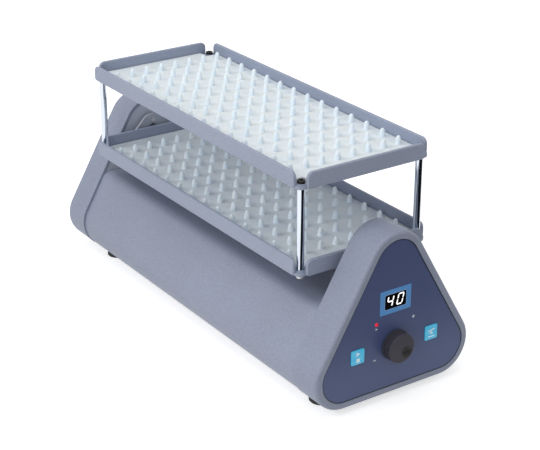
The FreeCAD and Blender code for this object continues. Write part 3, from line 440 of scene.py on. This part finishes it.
def cell_edge(x, y, middle_x, limit_x, level):
    """Edge of a peg's piece of sheet, with a point for each side of the peg; the end ones reach limit_x."""
    edge = []
    for i in range(PEG_SIDES):
        angle = 2 * math.pi * i / PEG_SIDES + PEG_TURN
        across, along = math.cos(angle), math.sin(angle)
        reach = 1 / max(abs(across), abs(along))
        edge_x = x + PEG_PITCH_X / 2 * across * reach - middle_x
        if abs(edge_x) > PEG_PITCH_X * PEG_COLUMNS / 2 - TOLERANCE:
            edge_x = math.copysign(limit_x, edge_x)
        edge.append((middle_x + edge_x, y + PEG_PITCH_Y / 2 * along * reach, level))
    return edge


def add_peg(shape, x, y, edge, top):
    """Piece of sheet inside an edge, with a bullet-shaped peg growing out of it."""
    rings = [edge]
    for radius, height in PEG_PROFILE:
        rings.append(circle(radius * MM, top + height * MM, (x, y), PEG_SIDES, PEG_TURN))
    shape.stack(rings, start_cap=False, end_cap=False)
    last = list(range(len(shape.points) - PEG_SIDES, len(shape.points)))
    tip = shape.ring([(x, y, top + PEG_TIP * MM)])[0]
    for i in range(PEG_SIDES):
        shape.faces.append((last[i], last[(i + 1) % PEG_SIDES], tip))


def add_pegs(shape, middle, top, limit_x):
    """Grid of pegs with their pieces of sheet."""
    for column in range(PEG_COLUMNS):
        for row in range(PEG_ROWS):
            x = middle[0] + (column - (PEG_COLUMNS - 1) / 2) * PEG_PITCH_X
            y = middle[1] + (row - (PEG_ROWS - 1) / 2) * PEG_PITCH_Y
            add_peg(shape, x, y, cell_edge(x, y, middle[0], limit_x, top), top)


def notched(middle, half_x, half_y, inset, level):
    """Outline of the sheet: a rectangle with its four corners cut out."""
    outline = []
    for side_x, side_y in ((1, 1), (-1, 1), (-1, -1), (1, -1)):
        outer_x, outer_y = side_x * (half_x - inset), side_y * (half_y - inset)
        inner_x = side_x * (half_x - MAT_NOTCH_X - inset)
        inner_y = side_y * (half_y - MAT_NOTCH_Y - inset)
        corner = [(outer_x, inner_y), (inner_x, inner_y), (inner_x, outer_y)]
        if side_x * side_y < 0:
            corner.reverse()
        outline.extend((middle[0] + x, middle[1] + y, level) for x, y in corner)
    return outline


def add_border(shape, middle, half_x, half_y, top):
    """Flat strips of sheet between the grid of cells and the bevelled edge."""
    edge_x, edge_y = half_x - MAT_BEVEL, half_y - MAT_BEVEL
    grid_y = PEG_PITCH_Y * PEG_ROWS / 2
    notch_x, notch_y = edge_x - MAT_NOTCH_X, edge_y - MAT_NOTCH_Y
    under = top - TUCK_DROP
    for side in (-1, 1):
        inner_x, inner_y = side * (notch_x - TUCK), side * (grid_y - TUCK)
        strip_x = [(inner_x, -notch_y, under), (side * edge_x, -notch_y, top),
                   (side * edge_x, notch_y, top), (inner_x, notch_y, under)]
        strip_y = [(-notch_x, inner_y, under), (-notch_x, side * edge_y, top),
                   (notch_x, side * edge_y, top), (notch_x, inner_y, under)]
        for corners in (strip_x, strip_y):
            indices = shape.ring([(middle[0] + x, middle[1] + y, z) for x, y, z in corners])
            shape.faces.append(tuple(indices))


def add_mat(name, node):
    """Sheet with pegs, bevelled edges and cut corners, in the place of a CAD mat."""
    low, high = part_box(node)
    middle = ((low.x + high.x) / 2, (low.y + high.y) / 2)
    half_x, half_y = (high.x - low.x) / 2, (high.y - low.y) / 2
    top = low.z + MAT_SHEET
    shape = Shape()
    add_pegs(shape, middle, top, half_x - MAT_BEVEL - MAT_NOTCH_X)
    add_border(shape, middle, half_x, half_y, top)
    skirt = [
        notched(middle, half_x, half_y, 0.0, low.z),
        notched(middle, half_x, half_y, 0.0, top - MAT_BEVEL),
        notched(middle, half_x, half_y, MAT_BEVEL, top),
    ]
    shape.stack(skirt, end_cap=False)
    add_piece(name, shape, MATERIALS["mat_silicone"], "rocker", (node,))


# Print, painted shade and lit segments on the panel, in its own plane: across is Y, up is Z, both in mm

INK_DEPTH = 0.05 * MM
# Gap between print and the face under it
INK_LIFT = 0.01 * MM
SEGMENT_WIDTH = 1.02
DIGIT_WIDTH = 5.0
DIGIT_HEIGHT = 9.6
DIGIT_SLANT = 0.24
SEGMENT_GAP = 0.18
# Place of each digit's middle from the window's, and its lit segments
DIGIT_PLACES = ((-5.2, 0.3, "bcfg"), (4.6, 0.3, "abcdef"))
WINDOW_WIDTH = 20.6
WINDOW_HEIGHT = 12.2
# Line round the window: how much larger its two edges are than the window, and their corner radii
RIM_OUTER, RIM_INNER = 1.0, 0.3
RIM_OUTER_RADIUS, RIM_INNER_RADIUS = 1.6, 1.3
# Line of painted shade round the front sheet: how far in from the sheet's edge it starts and ends
SEAM_OUTER, SEAM_INNER = 0.05, 0.75


def middle_of(node):
    """Middle of a node across and up the panel."""
    low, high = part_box(node)
    return (low.y + high.y) / 2 / MM, (low.z + high.z) / 2 / MM


def print_level(node):
    """Where print on a node's front face starts."""
    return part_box(node)[1].x + INK_LIFT


def on_panel(outline, level):
    """Points in the frame from an outline on the panel and a level along X."""
    return [(level, across * MM, up * MM) for across, up in outline]


def plate(shape, outline, level):
    """Flat raised print."""
    shape.stack([on_panel(outline, level), on_panel(outline, level + INK_DEPTH)])


def add_line(name, carrier, outer, inner, material):
    """Flat raised line between two outlines, on a node of the base: print, and the painted shade of the front
    sheet's seam.
    """
    level = print_level(carrier)
    edges = ((outer, 0.0), (outer, INK_DEPTH), (inner, INK_DEPTH), (inner, 0.0))
    shape = Shape()
    shape.hoop([on_panel(outline, level + depth) for outline, depth in edges])
    add_piece(name, shape, material, "base")


def bar(start, end, width):
    """Outline of a bar with pointed ends between two points."""
    run = Vector((end[0] - start[0], end[1] - start[1])).normalized()
    side = Vector((-run.y, run.x)) * (width / 2)
    inset = run * (width / 2)
    first, last = Vector(start), Vector(end)
    outline = [first, first + inset + side, last - inset + side,
               last, last - inset - side, first + inset - side]
    return [(point.x, point.y) for point in outline]


def shortened(start, end):
    """The two ends, each moved in by the gap between segments."""
    first, last = Vector(start), Vector(end)
    run = (last - first).normalized() * SEGMENT_GAP
    return first + run, last - run


def segment_ends():
    """Ends of the seven segments, upright and about zero."""
    x, y = DIGIT_WIDTH / 2, (DIGIT_HEIGHT - SEGMENT_WIDTH) / 2
    return {
        "a": ((-x, y), (x, y)), "b": ((x, y), (x, 0)), "c": ((x, 0), (x, -y)), "d": ((-x, -y), (x, -y)),
        "e": ((-x, 0), (-x, -y)), "f": ((-x, y), (-x, 0)), "g": ((-x, 0), (x, 0)),
    }


def add_digits():
    """The lit number in the window."""
    middle_across, middle_up = middle_of("display_window")
    level = print_level("display_window")
    ends = segment_ends()
    shape = Shape()
    for across, up, lit in DIGIT_PLACES:
        for segment in lit:
            outline = bar(*shortened(*ends[segment]), SEGMENT_WIDTH)
            leaning = [(middle_across + across + x + DIGIT_SLANT * y, middle_up + up + y) for x, y in outline]
            plate(shape, leaning, level)
    add_piece("display_digits", shape, DIGIT_LIGHT, "base")


def round_outline(centre, width, height, radius, steps=6):
    """Rectangle with round corners."""
    outline = []
    for quarter, (side_x, side_y) in enumerate(((1, 1), (-1, 1), (-1, -1), (1, -1))):
        middle_x = centre[0] + side_x * (width / 2 - radius)
        middle_y = centre[1] + side_y * (height / 2 - radius)
        for i in range(steps + 1):
            angle = math.pi / 2 * (quarter + i / steps)
            outline.append((middle_x + radius * math.cos(angle), middle_y + radius * math.sin(angle)))
    return outline


def add_display_rim():
    """Thin pale line of the bezel round the window."""
    middle = middle_of("display_window")
    outer = round_outline(middle, WINDOW_WIDTH + RIM_OUTER, WINDOW_HEIGHT + RIM_OUTER, RIM_OUTER_RADIUS)
    inner = round_outline(middle, WINDOW_WIDTH + RIM_INNER, WINDOW_HEIGHT + RIM_INNER, RIM_INNER_RADIUS)
    add_line("display_rim", "display_bezel", outer, inner, RIM_INK)


def front_outline(node):
    """Outer edge of a node's flat front, in order."""
    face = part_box(node)[1].x
    mesh = bmesh.new()
    mesh.from_mesh(NODES[node].data)
    bmesh.ops.remove_doubles(mesh, verts=mesh.verts, dist=WELD_DISTANCE)
    front = {f for f in mesh.faces if all(v.co.x > face - TOLERANCE for v in f.verts)}
    beside = {}
    for edge in mesh.edges:
        if sum(f in front for f in edge.link_faces) == 1:
            first, last = edge.verts
            beside.setdefault(first, []).append(last)
            beside.setdefault(last, []).append(first)
    loop = [max(beside, key=lambda v: v.co.z)]
    while True:
        ahead = [v for v in beside[loop[-1]] if v not in loop[-2:] and v is not loop[0]]
        if not ahead:
            break
        loop.append(ahead[0])
    outline = [(v.co.y / MM, v.co.z / MM) for v in loop]
    mesh.free()
    return outline


def moved_in(outline, distance):
    """Closed outline moved in by a distance."""
    after = outline[1:] + outline[:1]
    before = outline[-1:] + outline[:-1]
    area = sum(x0 * y1 - x1 * y0 for (x0, y0), (x1, y1) in zip(outline, after))
    turn = math.copysign(distance, area)
    moved = []
    for (x, y), behind, ahead in zip(outline, before, after):
        along = (Vector(ahead) - Vector(behind)).normalized()
        moved.append((x - along.y * turn, y + along.x * turn))
    return moved


def add_overlay_seam():
    """Thin dark line of painted shade where the front sheet meets the rim of the housing."""
    outline = front_outline("panel_overlay")
    outer, inner = moved_in(outline, SEAM_OUTER), moved_in(outline, SEAM_INNER)
    add_line("overlay_seam", "panel_overlay", outer, inner, SEAM_SHADE)


def slab(half_width, half_height):
    """Rectangle about its own middle."""
    return [(-half_width, half_height), (-half_width, -half_height),
            (half_width, -half_height), (half_width, half_height)]


# Each glyph is a list of outlines about its own middle
PLAY = [[(-1.6, 1.9), (-1.6, -1.9), (2.0, 0.0)]]
SMALL_PLAY = [[(-0.8, 0.9), (-0.8, -0.9), (1.0, 0.0)]]
STOP = [slab(1.6, 1.6)]
MINUS = [slab(1.4, 0.32)]
LONG_BAR = [slab(2.9, 0.4)]
PLUS = [[
    (-1.4, 0.32), (-1.4, -0.32), (-0.32, -0.32), (-0.32, -1.4), (0.32, -1.4), (0.32, -0.32),
    (1.4, -0.32), (1.4, 0.32), (0.32, 0.32), (0.32, 1.4), (-0.32, 1.4), (-0.32, 0.32),
]]
ROCKING = [[(-3.3, 0.6), (-3.1, -0.5), (3.3, 0.9), (3.1, 2.0)], [(-1.9, -2.4), (1.9, -2.4), (0.0, -0.3)]]
# Glyphs with their places across and up from the middle of the node that they go with
LEFT_KEY_MARKS = ((PLAY, 0.0, 2.7), (STOP, 0.0, -2.7))
RIGHT_KEY_MARKS = ((ROCKING, 0.0, 1.4), (LONG_BAR, 0.0, -3.4))
KNOB_MARKS = ((MINUS, -19.4, -8.6), (PLUS, 17.9, 19.3))
LAMP_MARKS = ((SMALL_PLAY, 0.0, -3.9),)


def marks_by(node, marks):
    """Outlines of the marks that go with a node."""
    middle_across, middle_up = middle_of(node)
    outlines = []
    for glyph, across, up in marks:
        for outline in glyph:
            outlines.append([(middle_across + across + x, middle_up + up + y) for x, y in outline])
    return outlines


def add_print(name, carrier, outlines, material, body):
    """Outlines printed on a node's front face."""
    level = print_level(carrier)
    shape = Shape()
    for outline in outlines:
        plate(shape, outline, level)
    add_piece(name, shape, material, body)


def add_panel_print():
    """Generic marks on the keys and the front sheet, where the photograph has lettering."""
    left_marks = marks_by("left_key", LEFT_KEY_MARKS)
    right_marks = marks_by("right_key", RIGHT_KEY_MARKS)
    panel_marks = marks_by("speed_knob", KNOB_MARKS) + marks_by("indicator_lamp", LAMP_MARKS)
    add_print("left_key_glyphs", "left_key", left_marks, PALE_INK, "start_key")
    add_print("right_key_glyphs", "right_key", right_marks, PALE_INK, "mode_key")
    add_print("panel_marks", "panel_overlay", panel_marks, WHITE_INK, "base")


# Feet, in mm: radii and heights of the parts of a moulded rubber foot round its screw
FOOT_SIDES = 48
FOOT_HOLE = 2.4
FOOT_RECESS = 4.6
FOOT_RECESS_TOP = 3.0
FOOT_SHOULDER = 8.5
FOOT_NECK = 7.0
FOOT_PAD_TOP = 5.8
# Radius and height of the rings from the recess over the tread to the shoulder
FOOT_PROFILE = (
    (4.7, 0.9), (8.2, 0.9), (8.5, 0.5), (8.8, 0.0), (10.0, 0.0), (10.4, 0.5), (10.5, 1.3), (10.2, 2.0),
    (9.3, 3.0), (8.8, 4.0), (8.55, 5.2),
)


def add_foot(number):
    """Rubber foot with a flared tread, a screw recess and the neck of the CAD foot."""
    node = "foot_%d" % number
    low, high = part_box(node)
    centre = ((low.x + high.x) / 2, (low.y + high.y) / 2)
    top = high.z / MM
    profile = (
        (FOOT_HOLE, FOOT_RECESS_TOP), (FOOT_RECESS, FOOT_RECESS_TOP), *FOOT_PROFILE,
        (FOOT_SHOULDER, FOOT_PAD_TOP), (FOOT_NECK, FOOT_PAD_TOP), (FOOT_NECK, top), (FOOT_HOLE, top),
    )
    shape = Shape()
    shape.hoop([circle(radius * MM, height * MM, centre, FOOT_SIDES) for radius, height in profile])
    add_piece(node + "_moulding", shape, MATERIALS["foot_rubber"], "base", (node,))


# Finger dimple, in mm: a ball's cap sunk in the knob's face, across and down from its middle
DIMPLE_RADIUS = 5.0
DIMPLE_DEPTH = 2.2
DIMPLE_ACROSS = 5.1
DIMPLE_DROP = 4.0
DIMPLE_SIDES = 48
# Rings of the lining, as shares of the dimple's radius
DIMPLE_STEPS = (0.04, 0.14, 0.26, 0.38, 0.5, 0.62, 0.73, 0.83, 0.91, 0.97)
# How far the lining reaches into the knob, and out of it
LINING_BACK = -0.3
LINING_FRONT = 0.16


def add_knob_dimple():
    """Smooth matt lining of the finger dimple in the knob's face, dark as painted shade."""
    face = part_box("speed_knob")[1].x
    knob_across, knob_up = middle_of("speed_knob")
    centre = (knob_across + DIMPLE_ACROSS, knob_up - DIMPLE_DROP)
    ball = (DIMPLE_RADIUS ** 2 + DIMPLE_DEPTH ** 2) / (2 * DIMPLE_DEPTH)
    rings = []
    for skin, steps in ((LINING_BACK, DIMPLE_STEPS), (LINING_FRONT, DIMPLE_STEPS[::-1])):
        for share in steps:
            radius = DIMPLE_RADIUS * share
            depth = DIMPLE_DEPTH - ball + math.sqrt(ball ** 2 - radius ** 2)
            rings.append(on_panel(round_points(centre, radius, DIMPLE_SIDES), face - depth * MM + skin * MM))
    shape = Shape()
    shape.stack(rings)
    add_piece("knob_dimple_shade_lining", shape, DIMPLE_SHADE_PLASTIC, "knob")


# Studio

CLIP_START = 0.05
# Strength of the even light on matt surfaces
AMBIENT_LIGHT = 0.50
STUDIO_ROUGHNESS = 0.9
FLOOR_HALF = 6.0
FLOOR_COLOR = (0.8, 0.8, 0.8, 1.0)
# Glow of the floor where it is seen, which makes it white in the open
FLOOR_LIFT = 0.58
CARD_LOW = (0.27, -0.24)
CARD_HIGH = (1.4, 1.2)
CARD_LEVEL = 0.002
CARD_COLOR = (0.01, 0.01, 0.012, 1.0)
# Name, place, aim, width and height, and watts of each light
LIGHTS = (
    ("key", (-0.4, -1.75, 1.5), (0.0, 0.0, 0.06), (0.5, 0.5), 13.0),
    ("front", (1.2, -1.8, 0.75), (0.0, 0.0, 0.1), (0.5, 0.5), 6.0),
    ("top", (0.1, -0.3, 2.0), (0.0, 0.0, 0.06), (1.4, 1.4), 10.5),
)


def add_camera():
    """Pinhole camera of the photograph."""
    look = Vector((-math.sin(CAMERA_AZIMUTH) * math.cos(CAMERA_ELEVATION),
                   math.cos(CAMERA_AZIMUTH) * math.cos(CAMERA_ELEVATION),
                   -math.sin(CAMERA_ELEVATION)))
    camera = bpy.data.objects.new("camera", bpy.data.cameras.new("camera"))
    bpy.context.scene.collection.objects.link(camera)
    camera.location = CAMERA_PLACE
    camera.rotation_euler = look.to_track_quat("-Z", "Y").to_euler()
    camera.data.sensor_width = SENSOR_WIDTH
    camera.data.lens = FOCAL_PIXELS * SENSOR_WIDTH / PHOTO_WIDTH
    camera.data.clip_start = CLIP_START
    bpy.context.scene.camera = camera


def add_light(name, place, aim, size, watts):
    """Soft rectangular light."""
    light = bpy.data.lights.new(name, "AREA")
    light.shape = "RECTANGLE"
    light.size, light.size_y = size
    light.energy = watts
    lamp = bpy.data.objects.new(name, light)
    bpy.context.scene.collection.objects.link(lamp)
    lamp.location = place
    lamp.rotation_euler = (Vector(aim) - Vector(place)).to_track_quat("-Z", "Y").to_euler()


def seen_level(tree, hidden, seen):
    """One strength where the camera, gloss or glass sees a surface, and another elsewhere."""
    path = tree.nodes.new("ShaderNodeLightPath")
    seeing = path.outputs["Is Camera Ray"]
    for ray in ("Is Transmission Ray", "Is Glossy Ray"):
        either = tree.nodes.new("ShaderNodeMath")
        either.operation = "MAXIMUM"
        tree.links.new(seeing, either.inputs[0])
        tree.links.new(path.outputs[ray], either.inputs[1])
        seeing = either.outputs["Value"]
    level = tree.nodes.new("ShaderNodeMapRange")
    level.inputs["To Min"].default_value = hidden
    level.inputs["To Max"].default_value = seen
    tree.links.new(seeing, level.inputs["Value"])
    return level.outputs["Result"]


def add_world():
    """Even studio light, white where it is seen."""
    world = bpy.data.worlds.new("studio")
    world.use_nodes = True
    bpy.context.scene.world = world
    tree = world.node_tree
    background = tree.nodes["Background"]
    background.inputs["Color"].default_value = (1.0, 1.0, 1.0, 1.0)
    tree.links.new(seen_level(tree, AMBIENT_LIGHT, 1.0), background.inputs["Strength"])


def add_sheet(name, low, high, level, finish):
    """Level rectangle of the studio."""
    corners = [(low[0], low[1], level), (high[0], low[1], level),
               (high[0], high[1], level), (low[0], high[1], level)]
    data = bpy.data.meshes.new(name)
    data.from_pydata(corners, [], [(0, 1, 2, 3)])
    sheet = bpy.data.objects.new(name, data)
    bpy.context.scene.collection.objects.link(sheet)
    finish.set("Specular IOR Level", 0.0)
    dress(sheet, finish.material)
    return sheet


def add_floor():
    """Pale floor that looks white in the open and keeps the object's shadow."""
    finish = Finish("pale_floor", FLOOR_COLOR, STUDIO_ROUGHNESS)
    finish.set("Emission Color", (1.0, 1.0, 1.0, 1.0))
    finish.link(seen_level(finish.tree, 0.0, FLOOR_LIFT), finish.shader.inputs["Emission Strength"])
    add_sheet("floor", (-FLOOR_HALF, -FLOOR_HALF), (FLOOR_HALF, FLOOR_HALF), 0.0, finish)


def add_gloss_card():
    """Dark card beside the object that only polished metal and gloss can see."""
    finish = Finish("card_black", CARD_COLOR, STUDIO_ROUGHNESS)
    card = add_sheet("gloss_card", CARD_LOW, CARD_HIGH, CARD_LEVEL, finish)
    card.visible_camera = False
    card.visible_diffuse = False
    card.visible_transmission = False
    card.visible_shadow = False


bpy.context.scene.view_settings.view_transform = "Standard"
add_camera()
add_world()
add_floor()
add_gloss_card()
for light in LIGHTS:
    add_light(*light)

for name, node in NODES.items():
    dress(node, END_SHADED_PLASTIC if name in END_HOUSINGS else MATERIALS[SLOTS[name]])
    smooth_by_angle(node)

add_mat("lower_mat_moulding", "lower_mat")
add_mat("upper_mat_moulding", "upper_mat")
for number in FOOT_NUMBERS:
    add_foot(number)
add_overlay_seam()
add_digits()
add_knob_dimple()
add_display_rim()
add_panel_print()
